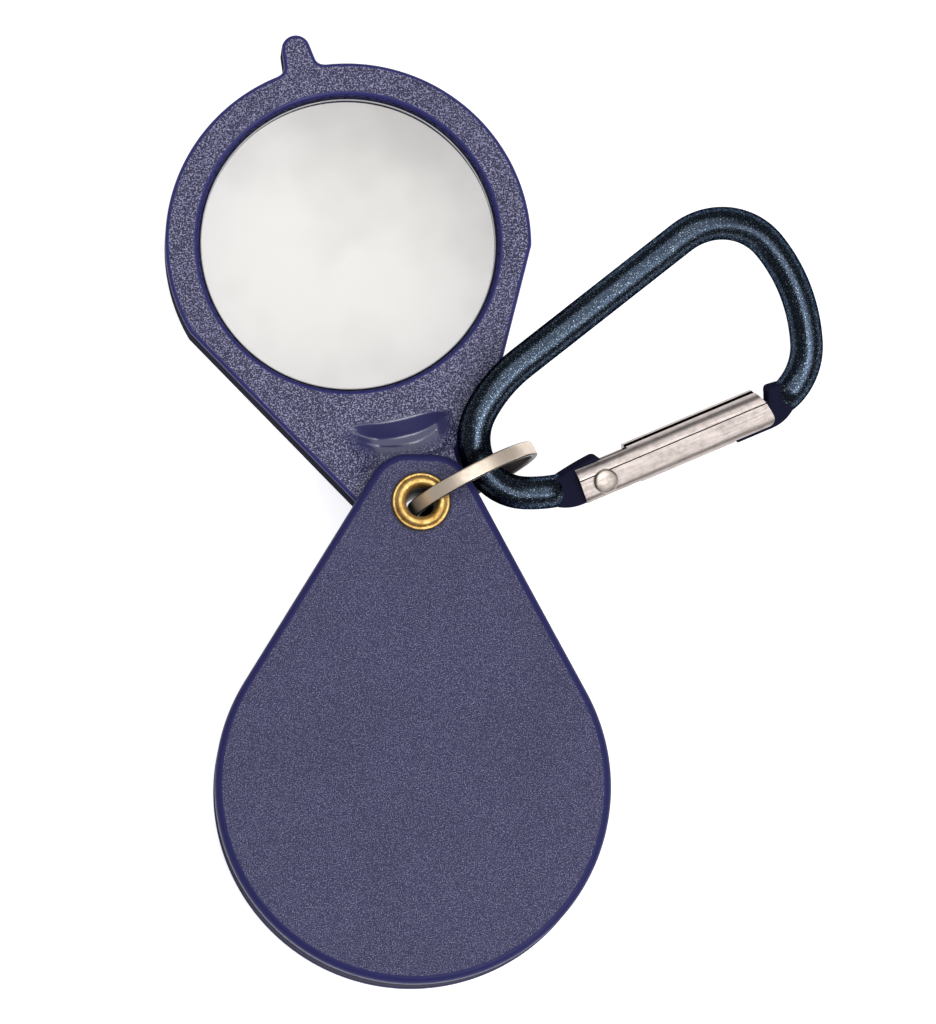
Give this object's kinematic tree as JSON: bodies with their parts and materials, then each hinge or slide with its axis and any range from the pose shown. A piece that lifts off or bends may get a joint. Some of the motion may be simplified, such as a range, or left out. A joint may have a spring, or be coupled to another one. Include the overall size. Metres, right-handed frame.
{
  "type": "folding pocket hand lens",
  "caption": "Pocket hand lens: round lens leaf pivoting out of a teardrop case on a hollow eyelet, with a split ring and small spring-gate carabiner.",
  "frame": {"origin": "centre of the case's round end, on the underside of the rear cover", "axes": "+Y runs along the case from its round end to its eyelet, +Z goes through the case from the rear cover to the front cover"},
  "size_m": [0.0803, 0.1148, 0.0178],
  "materials": {
    "case_plastic": "fine spark-eroded grain, polished rounded edges",
    "leaf_plastic": "coarse spark-eroded grain, polished rims and scoop",
    "retainer_plastic": "smooth",
    "lens_clear": "polished clear",
    "eyelet_brass": "polished, lightly tarnished",
    "ring_nickel": "nickel plated",
    "carabiner_anodised": "dark blue-black anodised, satin",
    "gate_aluminium": "plain, satin, finely scratched",
    "spring_steel": "drawn wire"
  },
  "bodies": {
    "case": {"front_cover": "case_plastic", "rear_cover": "case_plastic", "eyelet": "eyelet_brass", "eyelet_washer": "eyelet_brass"},
    "lens_leaf": {"lens_frame": "leaf_plastic", "lens": "lens_clear", "lens_retaining_ring": "retainer_plastic"},
    "ring": {"split_ring": "ring_nickel"},
    "carabiner": {"carabiner_body": "carabiner_anodised", "gate_rivet": "gate_aluminium"},
    "gate": {"carabiner_gate": "gate_aluminium", "gate_spring": "spring_steel"}
  },
  "joints": [
    {"name": "leaf_hinge", "type": "hinge", "parent": "case", "child": "lens_leaf", "pos_m": [0, 0.03407, 0.00495], "axis": [0, 0, 1], "range_deg": [0, 163]},
    {"name": "ring_swivel", "type": "hinge", "parent": "case", "child": "ring", "pos_m": [0, 0.03407, 0.00495], "axis": [0, 0, 1], "range_deg": [-10, 0]},
    {"name": "carabiner_swing", "type": "hinge", "parent": "ring", "child": "carabiner", "pos_m": [0.00773, 0.03837, 0.00696], "axis": [0.4863, -0.8738, 0], "range_deg": [0, 22]},
    {"name": "gate_hinge", "type": "hinge", "parent": "carabiner", "child": "gate", "pos_m": [0.02193, 0.03878, 0.00371], "axis": [0.2191, -0.3427, 0.9135], "range_deg": [0, 25], "stiffness_Nm_per_rad": 0.03, "springref_deg": -11.46}
  ]
}
